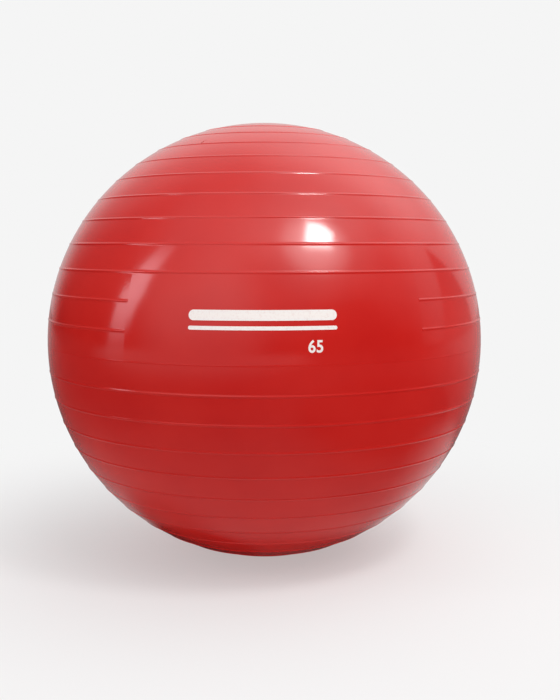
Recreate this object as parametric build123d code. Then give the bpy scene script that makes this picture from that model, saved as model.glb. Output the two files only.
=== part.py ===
from build123d import *
from math import acos, asin, cos, degrees, radians, sin, sqrt
import os

# Inflatable exercise ball, 65 cm size: a thin ribbed skin, the valve sleeve moulded into it and the
# plug that closes the sleeve. Sizes are in millimetres.
#
# Frame: +Z is the axis of the ball's mould, up through the valve. The smooth print panel faces -Y.
# The origin is the middle of the flat patch that the ball rests on.

# Skin
ball_diameter = 650.0       # over the smooth wall between the ribs, blown up to its rated size
wall = 0.8                  # skin after it has stretched to that size
contact_radius = 36.0       # patch that the ball's own weight presses flat on the floor

# Ribs: raised rings round the ball that keep it from slipping
ribs_each_side = 11         # evenly spaced from the mould's parting line towards each pole
smooth_cap_radius = 91.4    # along the skin, from a pole to the crest of its last rib
rib_width = 4.4
rib_height = 0.9

# Print panel: smooth window in front, where the first ribs above the parting line stop
panel_width = 406.0         # along the skin at the parting line
panel_ribs = (1, 2)         # ribs that stop at the panel, counted up from the parting line

# Valve sleeve: soft insert at the top pole, whose flange widens inwards so that the skin holds it
flange_radius = 12.0        # at its face, flush with the skin
flange_undercut = 1.5       # further out at the flange's underside
flange_thickness = 4.0
barrel_radius = 7.2
sleeve_length = 18.0
bore_radius = 4.3
recess_depth = 2.0          # seat of the plug's head

# Collar: the skin's own material, gathered round the sleeve while the ball is moulded
collar_wall = 2.0
collar_depth = 11.0         # below the sleeve's face
collar_spread = 6.0         # over which the collar thins out into the wall

# Plug
head_radius = 8.0
head_thickness = 2.6
top_bevel = 0.5             # round the head's top
grip_bevel = 0.9            # under the head's rim, for a fingernail
head_clearance = 0.5        # between the head's rim and the wall of its recess
neck_length = 7.0           # plain sealing length under the head
ring_count = 3              # sawtooth rings that grip the bore
ring_pitch = 4.0
ring_depth = 0.6
stem_clearance = 0.05       # between the stem and the bore
tip_length = 4.0
tip_radius = 2.6
core_radius = 1.5           # blind hole up the stem, which keeps it springy
core_length = 17.0

ball_radius = ball_diameter / 2
inner_radius = ball_radius - wall
centre_height = sqrt(ball_radius**2 - contact_radius**2)
face_height = centre_height + sqrt(ball_radius**2 - flange_radius**2)    # face of the sleeve's flange
rib_step = (90 - degrees(smooth_cap_radius / ball_radius)) / ribs_each_side
rib_spread = degrees(rib_width / 2 / ball_radius)
panel_angle = degrees(panel_width / ball_radius)


def on_ball(radius, latitude):
    """Point of the ball's half profile at a distance from its middle and a latitude in degrees."""
    angle = radians(latitude)
    return (radius * cos(angle), 0, centre_height + radius * sin(angle))


def in_valve(radius, depth):
    """Point of the valve's half profile at a distance from the axis and a depth below the flange's face."""
    return (radius, 0, face_height - depth)


def turned(edges):
    """Solid turned about the axis from the edges of its half profile."""
    return revolve(make_face(edges), Axis.Z)


def turned_corners(*corners):
    """Solid turned about the axis from the corners of its half profile."""
    return turned(Polyline(*corners, close=True).edges())


def ball_arc(radius, start, end):
    """Arc of the ball's half profile between two latitudes."""
    return ThreePointArc(on_ball(radius, start), on_ball(radius, (start + end) / 2), on_ball(radius, end))


def ribbed_skin(start, end):
    """Outer half profile between two latitudes, with the ribs that run all the way round."""
    edges = []
    latitude = start
    for number in range(-ribs_each_side, ribs_each_side + 1):
        if number == 0 or number in panel_ribs:
            continue
        crest = number * rib_step
        foot = on_ball(ball_radius, crest - rib_spread)
        peak = on_ball(ball_radius + rib_height, crest)
        edges.append(ball_arc(ball_radius, latitude, crest - rib_spread))
        latitude = crest + rib_spread
        edges.append(Line(foot, peak))
        edges.append(Line(peak, on_ball(ball_radius, latitude)))
    edges.append(ball_arc(ball_radius, latitude, end))
    return edges


def open_rib(number):
    """A rib that stops at both sides of the print panel. Its root reaches half way into the wall."""
    root = wall / 2
    latitude = number * rib_step
    root_spread = rib_spread * (rib_height + root) / rib_height
    section = make_face(Polyline(
        on_ball(ball_radius - root, latitude - root_spread),
        on_ball(ball_radius + rib_height, latitude),
        on_ball(ball_radius - root, latitude + root_spread),
        close=True,
    ).edges())
    # The half profile lies on +X, so the opening is turned round to be centred on -Y.
    return Rot(0, 0, panel_angle / 2 - 90) * revolve(section, Axis.Z, 360 - panel_angle)


def make_sleeve_body():
    """Outside of the sleeve, which is also the shape of its seat in the skin."""
    return turned_corners(
        in_valve(0, 0),
        in_valve(flange_radius, 0),
        in_valve(flange_radius + flange_undercut, flange_thickness),
        in_valve(barrel_radius, flange_thickness),
        in_valve(barrel_radius, sleeve_length),
        in_valve(0, sleeve_length),
    )


def make_shell():
    """The skin: a hollow ball with a flat foot, its ribs and the collar that holds the sleeve."""
    foot = -degrees(acos(contact_radius / ball_radius))
    inner_foot = -degrees(asin((centre_height - wall) / inner_radius))
    rim = degrees(acos(flange_radius / ball_radius))
    collar_radius = flange_radius + flange_undercut + collar_wall
    collar_edge = degrees(acos((collar_radius + collar_spread) / inner_radius))
    collar = Polyline(
        on_ball(inner_radius, collar_edge),
        in_valve(collar_radius, flange_thickness),
        in_valve(barrel_radius + collar_wall, flange_thickness + collar_wall),
        in_valve(barrel_radius + collar_wall, collar_depth),
        in_valve(0, collar_depth),
    )
    skin = turned([
        Line((0, 0, wall), on_ball(inner_radius, inner_foot)),
        ball_arc(inner_radius, inner_foot, collar_edge),
        *collar.edges(),
        Line(in_valve(0, collar_depth), in_valve(0, 0)),
        Line(in_valve(0, 0), in_valve(flange_radius, 0)),
        *ribbed_skin(foot, rim),
        Line(on_ball(ball_radius, foot), (0, 0, 0)),
        Line((0, 0, 0), (0, 0, wall)),
    ])
    return skin.fuse(*[open_rib(number) for number in panel_ribs]) - make_sleeve_body()


def make_valve_sleeve():
    """The insert: flange, barrel, recess for the plug's head and bore."""
    seat_radius = head_radius + head_clearance
    hollow = turned_corners(
        in_valve(0, 0),
        in_valve(seat_radius, 0),
        in_valve(seat_radius, recess_depth),
        in_valve(bore_radius, recess_depth),
        in_valve(bore_radius, sleeve_length),
        in_valve(0, sleeve_length),
    )
    return make_sleeve_body() - hollow


def make_plug():
    """The stopper: head with bevelled rim, sealing neck, sawtooth rings, tapered tip and blind core."""
    top = recess_depth - head_thickness
    stem_radius = bore_radius - stem_clearance
    neck_end = recess_depth + neck_length
    rings = []
    for number in range(ring_count):
        start = neck_end + number * ring_pitch
        rings.append(in_valve(stem_radius - ring_depth, start))
        rings.append(in_valve(stem_radius, start + ring_pitch))
    stem_end = neck_end + ring_count * ring_pitch + tip_length
    return turned_corners(
        in_valve(0, top),
        in_valve(head_radius - top_bevel, top),
        in_valve(head_radius, top + top_bevel),
        in_valve(head_radius, recess_depth - grip_bevel),
        in_valve(head_radius - grip_bevel, recess_depth),
        in_valve(stem_radius, recess_depth),
        in_valve(stem_radius, neck_end),
        *rings,
        in_valve(tip_radius, stem_end),
        in_valve(core_radius, stem_end),
        in_valve(core_radius, stem_end - core_length),
        in_valve(0, stem_end - core_length),
    )


parts = {
    "shell": make_shell(),
    "valve_sleeve": make_valve_sleeve(),
    "plug": make_plug(),
}
os.makedirs("parts", exist_ok=True)
for name, shape in parts.items():
    export_step(shape, f"parts/{name}.step")
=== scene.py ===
from math import acos, asin, cos, pi, radians, sin, sqrt

import bmesh
import bpy
from mathutils import Matrix, Vector


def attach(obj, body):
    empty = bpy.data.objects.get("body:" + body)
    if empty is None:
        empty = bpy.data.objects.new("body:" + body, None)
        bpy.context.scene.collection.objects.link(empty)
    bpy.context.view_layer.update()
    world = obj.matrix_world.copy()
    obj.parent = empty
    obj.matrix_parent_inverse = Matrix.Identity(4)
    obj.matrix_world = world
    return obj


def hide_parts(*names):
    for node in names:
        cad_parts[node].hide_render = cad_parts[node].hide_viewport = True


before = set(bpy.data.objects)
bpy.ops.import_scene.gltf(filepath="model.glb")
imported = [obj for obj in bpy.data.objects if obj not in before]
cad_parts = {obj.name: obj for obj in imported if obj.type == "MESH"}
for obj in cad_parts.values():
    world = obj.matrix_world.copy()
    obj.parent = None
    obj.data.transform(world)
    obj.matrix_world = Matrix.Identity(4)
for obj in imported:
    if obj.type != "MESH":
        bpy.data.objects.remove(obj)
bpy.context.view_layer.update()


# ---- Skin --------------------------------------------------------------------------------------
# The ball itself: soft PVC, moulded in one piece and blown up to 65 cm, with a wall of 0.8 mm.
# Raised ribs run round it like circles of latitude. Two of them stop at the smooth print panel.

ball_radius = 0.325
wall = 0.0008
foot_radius = 0.036                     # flat patch that the ball's weight presses on the floor
centre_height = sqrt(ball_radius ** 2 - foot_radius ** 2)

ribs_each_side = 11
smooth_cap_radius = 0.0914              # along the skin, from a pole to the crest of the last rib
rib_step = (pi / 2 - smooth_cap_radius / ball_radius) / ribs_each_side
rib_width = 0.0044
rib_height = 0.0007
rib_foot = 0.0010                       # plain skin kept beside a rib, to keep its edge crisp
rib_rows = 4                            # rows of faces on each side of a rib's crest
parting_width = 0.0016                  # flash left where the two halves of the mould meet
parting_height = 0.00012
parting_rows = 2

panel_width = 0.406                     # smooth print panel, along the skin at the parting line
panel_angle = panel_width / ball_radius
panel_ribs = (1, 2)                     # ribs that stop at it, counted up from the parting line

rim_radius = 0.012                      # hole in the top of the skin, filled by the valve sleeve
rim_curl = [(0.0001, 0.0004), (0.0003, 0.0001)]    # its rounded edge: out from the rim, and down
rim_width = 0.0007                      # whole width of that edge
seat_undercut = 0.0015
seat_depth = 0.004
barrel_radius = 0.0072
collar_wall = 0.002
collar_depth = 0.011
collar_spread = 0.006
face_height = centre_height + sqrt(ball_radius ** 2 - rim_radius ** 2)

inner_steps = 56                        # rows of faces up the inside of the ball
cap_start = radians(85.9)               # latitude of the first row below the rim
cap_steps = 7                           # rows from there to the last rib
foot_steps = 5                          # rows under the lowest rib
foot_margin = 0.003                     # outermost row of the flat foot
panel_steps = 43                        # faces round the ball, across the panel
ribbed_steps = 173                      # and round the rest of it


def on_ball(radius, latitude):
    """Point of the half profile on +X, at a distance from the ball's middle and a latitude."""
    return Vector((radius * cos(latitude), 0, centre_height + radius * sin(latitude)))


def in_valve(radius, depth):
    """Point of the half profile on +X, at a distance from the axis and a depth below the rim."""
    return Vector((radius, 0, face_height - depth))


def ridge(latitude, width, height, rows):
    """Points over a rounded ridge, from the plain skin on one side to that on the other."""
    spread = (width / 2 + rib_foot) / ball_radius
    points = [on_ball(ball_radius, latitude - spread)]
    for row in range(-rows, rows + 1):
        rise = height * cos(pi / 2 * row / rows) ** 2
        offset = row / rows * width / 2 / ball_radius
        points.append(on_ball(ball_radius + rise, latitude + offset))
    points.append(on_ball(ball_radius, latitude + spread))
    return points


def skin_profile(smooth_ribs):
    """Half profile of the skin: its inside, the valve's seat, and its outside with the ribs."""
    inner = ball_radius - wall
    inner_foot = -asin((centre_height - wall) / inner)
    collar_radius = rim_radius + seat_undercut + collar_wall
    collar_edge = acos((collar_radius + collar_spread) / inner)
    points = [Vector((0, 0, wall))]
    for step in range(inner_steps + 1):
        climb = (collar_edge - inner_foot) * step / inner_steps
        points.append(on_ball(inner, inner_foot + climb))
    points += [
        in_valve(collar_radius, seat_depth),
        in_valve(barrel_radius + collar_wall, seat_depth + collar_wall),
        in_valve(barrel_radius + collar_wall, collar_depth),
        in_valve(barrel_radius, collar_depth),
        in_valve(barrel_radius, seat_depth),
        in_valve(rim_radius + seat_undercut, seat_depth),
    ]
    points += [in_valve(rim_radius + out, down) for out, down in rim_curl]
    points.append(on_ball(ball_radius, acos((rim_radius + rim_width) / ball_radius)))
    last = ribs_each_side * rib_step + (rib_width / 2 + rib_foot) / ball_radius
    for step in range(cap_steps):
        points.append(on_ball(ball_radius, cap_start + (last - cap_start) * step / cap_steps))
    for number in range(ribs_each_side, -ribs_each_side - 1, -1):
        if number == 0:
            points_over = ridge(0, parting_width, parting_height, parting_rows)
        else:
            height = 0 if number in smooth_ribs else rib_height
            points_over = ridge(number * rib_step, rib_width, height, rib_rows)
        points += reversed(points_over)
        if number > -ribs_each_side:
            for third in (1, 2):
                points.append(on_ball(ball_radius, (number - third / 3) * rib_step))
    foot = -acos(foot_radius / ball_radius)
    for step in range(1, foot_steps + 1):
        points.append(on_ball(ball_radius, -last + (foot + last) * step / foot_steps))
    points += [Vector((foot_radius - foot_margin, 0, 0)), Vector((0, 0, 0))]
    return points


def spin_profile(bm, points, start, angle, steps):
    """Spins a half profile about the ball's axis, from one longitude through an angle."""
    turn = Matrix.Rotation(start, 3, "Z")
    verts = [bm.verts.new(turn @ point) for point in points]
    edges = [bm.edges.new(pair) for pair in zip(verts, verts[1:])]
    bmesh.ops.spin(bm, geom=verts + edges, cent=(0, 0, 0), axis=(0, 0, 1), angle=angle,
                   steps=steps, use_merge=angle == 2 * pi)


def close_shape(bm):
    """Merges doubled points, fills what is open and points every face outwards."""
    bmesh.ops.remove_doubles(bm, verts=bm.verts, dist=1e-7)
    bmesh.ops.dissolve_degenerate(bm, edges=bm.edges, dist=1e-8)
    bmesh.ops.holes_fill(bm, edges=[edge for edge in bm.edges if edge.is_boundary], sides=0)
    bmesh.ops.recalc_face_normals(bm, faces=bm.faces)


def new_object(name, bm):
    """Makes a mesh object of the shape."""
    mesh = bpy.data.meshes.new(name)
    bm.to_mesh(mesh)
    bm.free()
    made = bpy.data.objects.new(name, mesh)
    bpy.context.scene.collection.objects.link(made)
    return made


crease = radians(35)                    # an edge sharper than this shows as an edge


def new_piece(name, bm, body):
    """Makes a piece of the shape, smooth but for its creases, that moves with a body."""
    for face in bm.faces:
        face.smooth = True
    for edge in bm.edges:
        edge.smooth = not edge.is_manifold or edge.calc_face_angle() < crease
    piece = new_object(name, bm)
    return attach(piece, body)


def linear(hex_colour):
    """sRGB hex to a linear RGBA colour."""
    channels = [int(hex_colour[i:i + 2], 16) / 255 for i in (1, 3, 5)]
    return [c / 12.92 if c <= 0.04045 else ((c + 0.055) / 1.055) ** 2.4 for c in channels] + [1]


def new_material(name):
    """A material with an empty Principled surface: its node tree and its shader."""
    material = bpy.data.materials.new(name)
    material.use_nodes = True
    return material, material.node_tree, material.node_tree.nodes["Principled BSDF"]


def add_node(tree, kind, settings=None, links=None, values=None):
    """Adds a node with its settings, its input values and the links into its inputs."""
    node = tree.nodes.new(kind)
    for key, value in (settings or {}).items():
        setattr(node, key, value)
    for key, value in (values or {}).items():
        node.inputs[key].default_value = value
    for key, source in (links or {}).items():
        tree.links.new(source, node.inputs[key])
    return node


skin_mesh = bmesh.new()
panel_left, panel_right = -pi / 2 - panel_angle / 2, -pi / 2 + panel_angle / 2
spin_profile(skin_mesh, skin_profile(()), panel_right, 2 * pi - panel_angle, ribbed_steps)
spin_profile(skin_mesh, skin_profile(panel_ribs), panel_left, panel_angle, panel_steps)
close_shape(skin_mesh)
skin = new_piece("skin", skin_mesh, "ball")

# Plasticised PVC, rotationally moulded: a deep even red under a wet gloss. The gloss wavers a
# little, because the wall isn't equally thick all over, and dulls in faint cloudy patches.
clouds_per_metre = 9.0                  # patches about 110 mm across
waves_per_metre = 14.0                  # the gloss wavers over about 70 mm
pvc, tree, shader = new_material("red_plasticised_pvc")
place = add_node(tree, "ShaderNodeTexCoord")
clouds = add_node(tree, "ShaderNodeTexNoise",
                  values={"Scale": clouds_per_metre, "Detail": 3.0, "Roughness": 0.5},
                  links={"Vector": place.outputs["Object"]})
tint = add_node(tree, "ShaderNodeValToRGB", links={"Fac": clouds.outputs["Fac"]})
tint.color_ramp.elements[0].position = 0.3
tint.color_ramp.elements[0].color = linear("#C01C18")
tint.color_ramp.elements[1].position = 0.7
tint.color_ramp.elements[1].color = linear("#C7221C")
tree.links.new(tint.outputs["Color"], shader.inputs["Base Color"])
dulling = add_node(tree, "ShaderNodeMapRange", values={"To Min": 0.10, "To Max": 0.15},
                   links={"Value": clouds.outputs["Fac"]})
tree.links.new(dulling.outputs["Result"], shader.inputs["Roughness"])
waver = add_node(tree, "ShaderNodeTexNoise", values={"Scale": waves_per_metre, "Detail": 2.0},
                 links={"Vector": place.outputs["Object"]})
waviness = add_node(tree, "ShaderNodeBump", values={"Strength": 0.25, "Distance": 0.0012},
                    links={"Height": waver.outputs["Fac"]})
tree.links.new(waviness.outputs["Normal"], shader.inputs["Normal"])
shader.inputs["IOR"].default_value = 1.53
shader.inputs["Diffuse Roughness"].default_value = 0.5
skin.data.materials.append(pvc)
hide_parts("shell")


# ---- Print -------------------------------------------------------------------------------------
# White ink, screen-printed on the panel before the ball is blown up: a plain double stripe and
# the size in centimetres below its right end. The ink is a film of a tenth of a millimetre.

ink_thickness = 0.0001
ink_root = 0.00015                      # how far the film's underside reaches into the skin
ink_cell = 0.003                        # longest edge in the film, so that it follows the ball
most_cuts = 7                           # times that a shape is divided to get there
stripe_middle = -0.0182                 # along the skin from the middle of the panel
stripe_length = 0.186
wide_stripe = (0.0613, 0.0130)          # height above the parting line, and width
narrow_stripe = (0.0456, 0.0048)
stripe_rounding = 0.49                  # of its width, which makes a stripe's ends half round
rounding_steps = 8
digits_left = 0.0375                    # place of their lower left corner
digits_foot = 0.0155
digits_height = 0.0157
digits_width = 0.92                     # of the font's own
digits_boldness = 0.022                 # added all round, in the font's units
digits_spacing = 1.05


def wrap_on_ball(bm):
    """Lays a flat shape on the ball: x runs east, y north along the skin, and z out of it."""
    for vert in bm.verts:
        longitude = vert.co.x / ball_radius - pi / 2
        point = on_ball(ball_radius + vert.co.z, vert.co.y / ball_radius)
        vert.co = Matrix.Rotation(longitude, 3, "Z") @ point


def ink_film(bm):
    """Gives a flat printed shape its thickness, divides it finely and lays it on the ball."""
    bmesh.ops.triangulate(bm, faces=bm.faces)
    for _ in range(most_cuts):
        long_edges = [edge for edge in bm.edges if edge.calc_length() > ink_cell]
        if not long_edges:
            break
        bmesh.ops.subdivide_edges(bm, edges=long_edges, cuts=1)
        bmesh.ops.triangulate(bm, faces=bm.faces)
    grown = bmesh.ops.extrude_face_region(bm, geom=list(bm.faces), use_keep_orig=True)["geom"]
    top = {item for item in grown if isinstance(item, bmesh.types.BMVert)}
    for vert in bm.verts:
        vert.co.z = ink_thickness if vert in top else -ink_root
    wrap_on_ball(bm)
    bmesh.ops.recalc_face_normals(bm, faces=bm.faces)


stripes_mesh = bmesh.new()
for height, width in (wide_stripe, narrow_stripe):
    corners = [(x * stripe_length / 2 + stripe_middle, y * width / 2 + height, 0)
               for x, y in ((-1, -1), (1, -1), (1, 1), (-1, 1))]
    verts = [stripes_mesh.verts.new(corner) for corner in corners]
    stripes_mesh.faces.new(verts)
    bmesh.ops.bevel(stripes_mesh, geom=verts, offset=width * stripe_rounding, affect="VERTICES",
                    segments=rounding_steps, profile=0.5, material=-1)
ink_film(stripes_mesh)
stripes = new_piece("print_stripes", stripes_mesh, "ball")

digits_curve = bpy.data.curves.new("print_size", "FONT")
digits_curve.body = "65"
digits_curve.offset = digits_boldness
digits_curve.space_character = digits_spacing
digits_object = bpy.data.objects.new("print_size", digits_curve)
bpy.context.scene.collection.objects.link(digits_object)
bpy.context.view_layer.update()
flat_digits = bpy.data.meshes.new_from_object(digits_object)
bpy.data.objects.remove(digits_object)
digits_mesh = bmesh.new()
digits_mesh.from_mesh(flat_digits)
bmesh.ops.remove_doubles(digits_mesh, verts=digits_mesh.verts, dist=1e-5)
low_x = min(vert.co.x for vert in digits_mesh.verts)
low_y = min(vert.co.y for vert in digits_mesh.verts)
high_y = max(vert.co.y for vert in digits_mesh.verts)
scale = digits_height / (high_y - low_y)
for vert in digits_mesh.verts:
    vert.co = Vector(((vert.co.x - low_x) * scale * digits_width + digits_left,
                      (vert.co.y - low_y) * scale + digits_foot, 0))
ink_film(digits_mesh)
digits = new_piece("print_size", digits_mesh, "ball")

# Vinyl screen ink: warm white and half glossy, a little thinner and pinker where the mesh of the
# screen starved it.
specks_per_metre = 400.0                # 2.5 mm: coarser than a screen's mesh, so that it shows
ink, tree, shader = new_material("white_vinyl_screen_ink")
place = add_node(tree, "ShaderNodeTexCoord")
starving = add_node(tree, "ShaderNodeTexNoise", values={"Scale": specks_per_metre, "Detail": 2.0},
                    links={"Vector": place.outputs["Object"]})
tint = add_node(tree, "ShaderNodeValToRGB", links={"Fac": starving.outputs["Fac"]})
tint.color_ramp.elements[0].position = 0.25
tint.color_ramp.elements[0].color = linear("#E2D5D1")
tint.color_ramp.elements[1].position = 0.5
tint.color_ramp.elements[1].color = linear("#E8E1DD")
tree.links.new(tint.outputs["Color"], shader.inputs["Base Color"])
film = add_node(tree, "ShaderNodeBump", values={"Strength": 0.2, "Distance": 0.00005},
                links={"Height": starving.outputs["Fac"]})
tree.links.new(film.outputs["Normal"], shader.inputs["Normal"])
shader.inputs["Roughness"].default_value = 0.35
for piece in (stripes, digits):
    piece.data.materials.append(ink)


# ---- Valve sleeve ------------------------------------------------------------------------------
# A softer PVC insert at the top pole, laid in the mould so that the skin grips its flange. Its
# bore takes the pump's nozzle, and then the plug.

sleeve_length = 0.018
bore_radius = 0.0043
recess_radius = 0.0085
recess_depth = 0.002
lip = 0.0004                            # rounding of the sleeve's edges
cut = 0.3 * lip                         # how far its middle lies in from the sharp corner
mouth, mouth_cut = 0.0006, 0.0002       # the same at the mouth of the bore
flange_fall = 0.0012                    # over which the flange's face falls to the skin's edge
valve_steps = 96                        # faces round the sleeve, and round the plug

sleeve_mesh = bmesh.new()
spin_profile(sleeve_mesh, [
    in_valve(bore_radius, recess_depth + mouth),
    in_valve(bore_radius + mouth_cut, recess_depth + mouth_cut),
    in_valve(bore_radius + mouth, recess_depth),
    in_valve(recess_radius - lip, recess_depth),
    in_valve(recess_radius - cut, recess_depth - cut),
    in_valve(recess_radius, recess_depth - lip),
    in_valve(recess_radius, lip),
    in_valve(recess_radius + cut, cut),
    in_valve(recess_radius + lip, 0),
    in_valve(rim_radius - flange_fall, 0),
    in_valve(rim_radius - lip, lip / 8),
    in_valve(rim_radius - cut, 0.4 * lip),
    in_valve(rim_radius, lip),
    in_valve(rim_radius + seat_undercut, seat_depth),
    in_valve(barrel_radius, seat_depth),
    in_valve(barrel_radius, sleeve_length - lip),
    in_valve(barrel_radius - cut, sleeve_length - cut),
    in_valve(barrel_radius - lip, sleeve_length),
    in_valve(bore_radius + lip, sleeve_length),
    in_valve(bore_radius + cut, sleeve_length - cut),
    in_valve(bore_radius, sleeve_length - lip),
    in_valve(bore_radius, recess_depth + mouth),
], 0, 2 * pi, valve_steps)
close_shape(sleeve_mesh)
sleeve = new_piece("valve_insert", sleeve_mesh, "ball")

# The same PVC with more plasticiser: darker, satin rather than glossy, with a fine moulded grain.
grains_per_metre = 1600.0               # 0.6 mm, the grain of the mould
soft_pvc, tree, shader = new_material("soft_red_pvc")
place = add_node(tree, "ShaderNodeTexCoord")
grain = add_node(tree, "ShaderNodeTexNoise", values={"Scale": grains_per_metre, "Detail": 2.0},
                 links={"Vector": place.outputs["Object"]})
tint = add_node(tree, "ShaderNodeValToRGB", links={"Fac": grain.outputs["Fac"]})
tint.color_ramp.elements[0].color = linear("#A01A18")
tint.color_ramp.elements[1].color = linear("#AE201D")
tree.links.new(tint.outputs["Color"], shader.inputs["Base Color"])
relief = add_node(tree, "ShaderNodeBump", values={"Strength": 0.3, "Distance": 0.0001},
                  links={"Height": grain.outputs["Fac"]})
tree.links.new(relief.outputs["Normal"], shader.inputs["Normal"])
shader.inputs["Roughness"].default_value = 0.42
shader.inputs["IOR"].default_value = 1.53
sleeve.data.materials.append(soft_pvc)
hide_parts("valve_sleeve")


# ---- Plug --------------------------------------------------------------------------------------
# The white stopper, injection-moulded polyethylene. Its stem seals by a plain neck and three
# sawtooth rings, and a blind core up the middle keeps it springy. It is pushed in by hand.

head_radius = 0.008
head_thickness = 0.0026
neck_length = 0.007
ring_count = 3
ring_pitch = 0.004
ring_depth = 0.0006
stem_clearance = 0.00005                # between the stem and the bore
stem_radius = bore_radius - stem_clearance
tip_length = 0.004
tip_radius = 0.0026
core_radius = 0.0015
core_length = 0.017
head_face = [                           # a shallow dish with the gate's pit in its middle:
    (0, 0.00045),                       # distance from the axis, and depth below the head's top
    (0.0006, 0.00045),
    (0.0008, 0.0003),
    (0.0034, 0.00035),
    (0.0052, 0.00025),
    (0.0058, 0.00006),
    (0.0063, 0),
]
head_edge = [(0.0005, 0), (0.00015, 0.00015), (0, 0.0005)]        # in from the rim, and down
grip_edge = [(0, 0.0010), (0.0003, 0.0005), (0.0009, 0.00002)]    # in, and up from the seat
round_off = 0.0001                      # of the sawtooth rings, the tip and the core's mouth

head_top = recess_depth - head_thickness
neck_end = recess_depth + neck_length
stem_end = neck_end + ring_count * ring_pitch + tip_length
plug_profile = [in_valve(radius, head_top + down) for radius, down in head_face]
plug_profile += [in_valve(head_radius - inwards, head_top + down) for inwards, down in head_edge]
plug_profile += [in_valve(head_radius - inwards, recess_depth - up) for inwards, up in grip_edge]
plug_profile += [
    in_valve(stem_radius, recess_depth - grip_edge[-1][1]),
    in_valve(stem_radius, neck_end),
]
for number in range(ring_count):
    start = neck_end + number * ring_pitch
    plug_profile += [
        in_valve(stem_radius - ring_depth, start + round_off),
        in_valve(stem_radius - round_off / 2, start + ring_pitch - 3 * round_off),
        in_valve(stem_radius, start + ring_pitch - round_off),
    ]
plug_profile += [
    in_valve(tip_radius, stem_end - 3 * round_off),
    in_valve(tip_radius - 3 * round_off, stem_end),
    in_valve(core_radius + round_off, stem_end),
    in_valve(core_radius, stem_end - 2 * round_off),
    in_valve(core_radius, stem_end - core_length),
    in_valve(0, stem_end - core_length),
]
plug_mesh = bmesh.new()
spin_profile(plug_mesh, plug_profile, 0, 2 * pi, valve_steps)
close_shape(plug_mesh)
plug = new_piece("valve_plug", plug_mesh, "plug")

# Low-density polyethylene, injection-moulded: a waxy off-white, satin from the tool, with finger
# dirt settled in faint patches.
patches_per_metre = 220.0               # 4.5 mm, smaller than a fingertip
polyethylene, tree, shader = new_material("white_polyethylene")
place = add_node(tree, "ShaderNodeTexCoord")
patches = add_node(tree, "ShaderNodeTexNoise",
                   values={"Scale": patches_per_metre, "Detail": 4.0},
                   links={"Vector": place.outputs["Object"]})
tint = add_node(tree, "ShaderNodeValToRGB", links={"Fac": patches.outputs["Fac"]})
tint.color_ramp.elements[0].position = 0.3
tint.color_ramp.elements[0].color = linear("#C6C4BC")
tint.color_ramp.elements[1].position = 0.6
tint.color_ramp.elements[1].color = linear("#D0CEC7")
tree.links.new(tint.outputs["Color"], shader.inputs["Base Color"])
flow = add_node(tree, "ShaderNodeBump", values={"Strength": 0.15, "Distance": 0.0001},
                links={"Height": patches.outputs["Fac"]})
tree.links.new(flow.outputs["Normal"], shader.inputs["Normal"])
shader.inputs["Roughness"].default_value = 0.38
shader.inputs["IOR"].default_value = 1.51
plug.data.materials.append(polyethylene)
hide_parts("plug")


# ---- Floor and backdrop ------------------------------------------------------------------------
# A pale matt studio floor. Near the ball it keeps the ball's shadow, and further out it turns
# into the pale backdrop, so that no horizon shows. In the ball's gloss it shows a painted
# reflection: a dimmer floor, dark round the foot as a painted shadow, with painted pools of light
# and shade. Near the foot it also glows for diffuse rays, as painted bounce light under the ball.

backdrop = "#F5F5F5"
floor_paper = "#DBDBDB"
floor_half_width = 12
blend_start, blend_end = 0.30, 0.95     # where the paper turns into the backdrop
blend_at_ball = 0.45                    # share of the backdrop that shows there already
painted_bounce = 0.42                           # painted bounce light: glow of the paper near the foot, for diffuse rays only
painted_bounce_core, painted_bounce_reach = 0.12, 0.60
painted_floor_reflection = [                      # painted reflection of the floor in the ball's gloss: distance from the axis, and brightness, dark round the foot as a painted shadow
    (0.01, 0.02), (0.14, 0.03), (0.16, 0.09), (0.18, 0.24), (0.20, 0.34),
    (0.30, 0.36), (0.45, 0.26), (0.65, 0.12), (0.99, 0.06),
]
painted_reflection_pools = [                         # painted pools of light and shade in that reflection: middle, reach, core and change of brightness
    (-0.17, -0.08, 0.17, 0.05, -0.25),  # and change of brightness
    (0.75, -0.55, 0.75, 0.35, -0.30),
    (0.45, 0.10, 0.35, 0.10, 0.35),
    (-6.0, -8.0, 9.0, 7.5, 0.45),
    (4.0, 9.0, 10.4, 7.2, 0.34),
]

floor_mesh = bmesh.new()
bmesh.ops.create_grid(floor_mesh, x_segments=1, y_segments=1, size=floor_half_width)
floor = new_object("floor", floor_mesh)

# Seamless paper: matt and evenly pale.
paper, tree, shader = new_material("pale_backdrop_paper")
shader.inputs["Base Color"].default_value = linear(floor_paper)
shader.inputs["Roughness"].default_value = 0.9
shader.inputs["Specular IOR Level"].default_value = 0.1
place = add_node(tree, "ShaderNodeTexCoord")
distance = add_node(tree, "ShaderNodeVectorMath", {"operation": "LENGTH"},
                    links={0: place.outputs["Object"]})
rays = add_node(tree, "ShaderNodeLightPath")

# Painted bounce light: near the foot the paper glows for diffuse rays only, which lights the ball
# from below.
nearness = add_node(tree, "ShaderNodeMapRange", {"interpolation_type": "SMOOTHSTEP"},
                    values={"From Min": painted_bounce_reach, "From Max": painted_bounce_core, "To Max": painted_bounce},
                    links={"Value": distance.outputs["Value"]})
painted_bounce_glow = add_node(tree, "ShaderNodeMath", {"operation": "MULTIPLY"},
                     links={0: nearness.outputs["Result"], 1: rays.outputs["Is Diffuse Ray"]})
shader.inputs["Emission Color"].default_value = (1, 1, 1, 1)
tree.links.new(painted_bounce_glow.outputs[0], shader.inputs["Emission Strength"])

# Painted reflection: glossy rays see a dim glow instead of the lit paper, dark round the foot as
# a painted shadow, with painted pools of light and shade.
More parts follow.
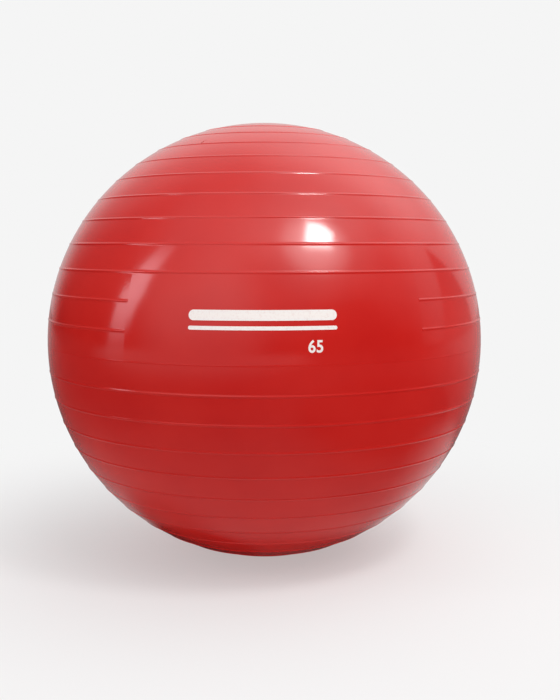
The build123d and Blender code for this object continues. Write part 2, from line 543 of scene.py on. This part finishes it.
painted_reflection_rings = add_node(tree, "ShaderNodeValToRGB", links={"Fac": distance.outputs["Value"]})
for reach, brightness in painted_floor_reflection:
    ring = painted_reflection_rings.color_ramp.elements.new(reach)
    ring.color = (brightness, brightness, brightness, 1)
for end in (0, -1):                     # the two that a new ramp starts with
    painted_reflection_rings.color_ramp.elements.remove(painted_reflection_rings.color_ramp.elements[end])
painted_reflection_brightness = painted_reflection_rings.outputs["Color"]
for x, y, reach, core, change in painted_reflection_pools:
    away = add_node(tree, "ShaderNodeVectorMath", {"operation": "DISTANCE"},
                    values={1: (x, y, 0)}, links={0: place.outputs["Object"]})
    pool = add_node(tree, "ShaderNodeMapRange", {"interpolation_type": "SMOOTHSTEP"},
                    values={"From Min": reach, "From Max": core, "To Max": change},
                    links={"Value": away.outputs["Value"]})
    painted_reflection_brightness = add_node(tree, "ShaderNodeMath", {"operation": "ADD", "use_clamp": True},
                     links={0: painted_reflection_brightness, 1: pool.outputs["Result"]}).outputs[0]
painted_reflection_glow = add_node(tree, "ShaderNodeEmission", values={"Color": linear(backdrop)},
               links={"Strength": painted_reflection_brightness})
with_painted_reflection = add_node(tree, "ShaderNodeMixShader",
                    links={0: rays.outputs["Is Glossy Ray"], 1: shader.outputs[0],
                           2: painted_reflection_glow.outputs[0]})

fade = add_node(tree, "ShaderNodeMapRange", {"interpolation_type": "SMOOTHSTEP"},
                values={"From Min": blend_start, "From Max": blend_end,
                        "To Min": blend_at_ball},
                links={"Value": distance.outputs["Value"]})
straight = add_node(tree, "ShaderNodeMath", {"operation": "ADD"},
                    links={0: rays.outputs["Is Camera Ray"],
                           1: rays.outputs["Is Transmission Ray"]})
seen = add_node(tree, "ShaderNodeMath", {"operation": "MULTIPLY"},
                links={0: fade.outputs["Result"], 1: straight.outputs[0]})
glow = add_node(tree, "ShaderNodeEmission", values={"Color": linear(backdrop), "Strength": 1.0})
blend = add_node(tree, "ShaderNodeMixShader",
                 links={0: seen.outputs[0], 1: with_painted_reflection.outputs[0], 2: glow.outputs[0]})
tree.links.new(blend.outputs[0], tree.nodes["Material Output"].inputs["Surface"])
floor.data.materials.append(paper)


# ---- Room --------------------------------------------------------------------------------------
# The studio round the ball: pools of soft light, which light the ball and show in its gloss. The
# camera sees the pale backdrop in their place.

room_lights = [                         # azimuth from -Y towards +X, elevation, reach and core
    (34, 51, 19, 3, 3.40),              # in degrees, and brightness where white paper is 1
    (38, 52, 34, 0, 0.60),
    (112, 58, 38, 5, 0.45),
    (36, 66, 36, 0, 0.40),
    (-36, 8, 42, 0, 0.48),
    (0, 90, 100, 0, 0.36),
    (-45, 38, 42, 0, 0.36),
    (0, 38, 42, 0, 0.32),
    (90, 38, 42, 0, 0.28),
    (172, 31, 60, 38, 0.29),
    (-36, 66, 36, 0, 0.23),
    (130, 50, 50, 10, 0.10),
    (150, 5, 74, 54, 0.30),
    (180, 70, 60, 10, 0.15),
]


def towards(azimuth, elevation):
    """Direction from the ball's middle: azimuth from -Y towards +X, and elevation, in degrees."""
    a, e = radians(azimuth), radians(elevation)
    return Vector((sin(a) * cos(e), -cos(a) * cos(e), sin(e)))


world = bpy.data.worlds.new("studio")
bpy.context.scene.world = world
world.use_nodes = True
tree = world.node_tree
tree.nodes.clear()
rays = add_node(tree, "ShaderNodeLightPath")
sight = add_node(tree, "ShaderNodeTexCoord")
pools = []
for azimuth, elevation, reach, core, brightness in room_lights:
    nearness = add_node(tree, "ShaderNodeVectorMath", {"operation": "DOT_PRODUCT"},
                        values={1: towards(azimuth, elevation)},
                        links={0: sight.outputs["Generated"]})
    pool = add_node(tree, "ShaderNodeMapRange", {"interpolation_type": "SMOOTHSTEP"},
                    values={"From Min": cos(radians(reach)), "From Max": cos(radians(core)),
                            "To Max": brightness},
                    links={"Value": nearness.outputs["Value"]})
    pools.append(pool.outputs["Result"])
total = pools[0]
for pool in pools[1:]:
    total = add_node(tree, "ShaderNodeMath", {"operation": "ADD"},
                     links={0: total, 1: pool}).outputs[0]
room = add_node(tree, "ShaderNodeBackground", values={"Color": (1, 1, 1, 1)},
                links={"Strength": total})
wall_seen = add_node(tree, "ShaderNodeBackground",
                     values={"Color": linear(backdrop), "Strength": 1.0})
straight = add_node(tree, "ShaderNodeMath", {"operation": "ADD"},
                    links={0: rays.outputs["Is Camera Ray"],
                           1: rays.outputs["Is Transmission Ray"]})
mixed = add_node(tree, "ShaderNodeMixShader",
                 links={0: straight.outputs[0], 1: room.outputs[0], 2: wall_seen.outputs[0]})
add_node(tree, "ShaderNodeOutputWorld", links={"Surface": mixed.outputs[0]})


# ---- Lamps -------------------------------------------------------------------------------------
# A softbox, a tall strip of light and a dark flag round the ball. The camera doesn't see them:
# they show only as light and in the gloss.

middle = Vector((0, 0, centre_height))
strip_heights = (0.05, 1.15, 1.30, 2.20)    # its light starts, is full, wanes and is gone


def light_card(name, azimuth, elevation, distance, corners, brightness, colour="#FFFFFF",
               heights=None, clear=True):
    """Flat card that shines evenly, or between four heights fades in from its foot and out again.
    Its corners run right and up, in metres, as seen from the ball's middle. A clear card adds its
    light to what is behind it, and another hides that."""
    ahead = towards(azimuth, elevation)
    right = ahead.cross(Vector((0, 0, 1))).normalized()
    above = right.cross(ahead)
    bm = bmesh.new()
    bm.faces.new([bm.verts.new(middle + ahead * distance + right * x + above * y)
                  for x, y in corners])
    card = new_object(name, bm)
    card.visible_camera = False
    card.visible_shadow = False
    card.visible_diffuse = clear

    material = bpy.data.materials.new(name)
    material.use_nodes = True
    tree = material.node_tree
    tree.nodes.clear()
    shine = add_node(tree, "ShaderNodeEmission",
                     values={"Color": linear(colour), "Strength": brightness})
    through = add_node(tree, "ShaderNodeBsdfTransparent",
                       values={"Color": (1, 1, 1, 1) if clear else (0, 0, 0, 1)})
    both = add_node(tree, "ShaderNodeAddShader",
                    links={0: shine.outputs[0], 1: through.outputs[0]})
    add_node(tree, "ShaderNodeOutputMaterial", links={"Surface": both.outputs[0]})
    if heights:
        place = add_node(tree, "ShaderNodeTexCoord")
        height = add_node(tree, "ShaderNodeSeparateXYZ", links={0: place.outputs["Object"]})
        foot = add_node(tree, "ShaderNodeMapRange", {"interpolation_type": "SMOOTHSTEP"},
                        values={"From Min": heights[0], "From Max": heights[1],
                                "To Max": brightness},
                        links={"Value": height.outputs["Z"]})
        head = add_node(tree, "ShaderNodeMapRange", {"interpolation_type": "SMOOTHSTEP"},
                        values={"From Min": heights[3], "From Max": heights[2]},
                        links={"Value": height.outputs["Z"]})
        faded = add_node(tree, "ShaderNodeMath", {"operation": "MULTIPLY"},
                         links={0: foot.outputs["Result"], 1: head.outputs["Result"]})
        tree.links.new(faded.outputs[0], shine.inputs["Strength"])
    card.data.materials.append(material)


light_card("key_softbox", 34.1, 51.0, 2.2,
           [(0.06, 0.30), (-0.14, 0.21), (-0.28, 0.02), (-0.11, -0.26), (0.34, -0.13)],
           brightness=23.0)
light_card("left_strip", -71, 20, 2.2,
           [(0.62, -1.32), (0.24, 0.06), (-0.25, 1.20), (-0.45, 1.20), (-0.19, 0.01),
            (0.20, -1.35)],
           brightness=4.0, colour="#FFF0F8", heights=strip_heights)
light_card("dark_flag", 100, 30, 2.6,
           [(-0.12, -0.09), (0.07, -0.78), (0.30, -1.60), (-1.80, -1.60), (-1.23, -1.06),
            (-0.46, -0.40)],
           brightness=0.25, clear=False)


# ---- Camera ------------------------------------------------------------------------------------
# A 50 mm lens on a picture 36 mm high, from a little above the ball's middle. It is aimed so that
# the ball stands a little to the left of the picture's middle, and above it.

camera_azimuth, camera_elevation = -2.7, 5.59
camera_distance = 4.6 * ball_radius
picture_height = 36                     # millimetres on the film, as the next three are
lens = 50.0143
ball_left, ball_up = 0.77143, 0.51429
aiming_rounds = 20

camera_data = bpy.data.cameras.new("camera")
camera_data.sensor_width = picture_height    # counts for the longer side, here the height
camera_data.lens = lens
camera = bpy.data.objects.new("camera", camera_data)
bpy.context.scene.collection.objects.link(camera)
bpy.context.scene.camera = camera
camera_place = middle + camera_distance * towards(camera_azimuth, camera_elevation)
to_ball = middle - camera_place
forward = to_ball.normalized()
for _ in range(aiming_rounds):
    right = forward.cross(Vector((0, 0, 1))).normalized()
    above = right.cross(forward)
    depth = to_ball.dot(forward)
    error_right = to_ball.dot(right) / depth + ball_left / lens
    error_up = to_ball.dot(above) / depth - ball_up / lens
    forward = (forward + right * error_right + above * error_up).normalized()
right = forward.cross(Vector((0, 0, 1))).normalized()
above = right.cross(forward)
turn = Matrix((right, above, -forward)).transposed().to_4x4()
camera.matrix_world = Matrix.Translation(camera_place) @ turn

bpy.context.scene.view_settings.view_transform = "Standard"
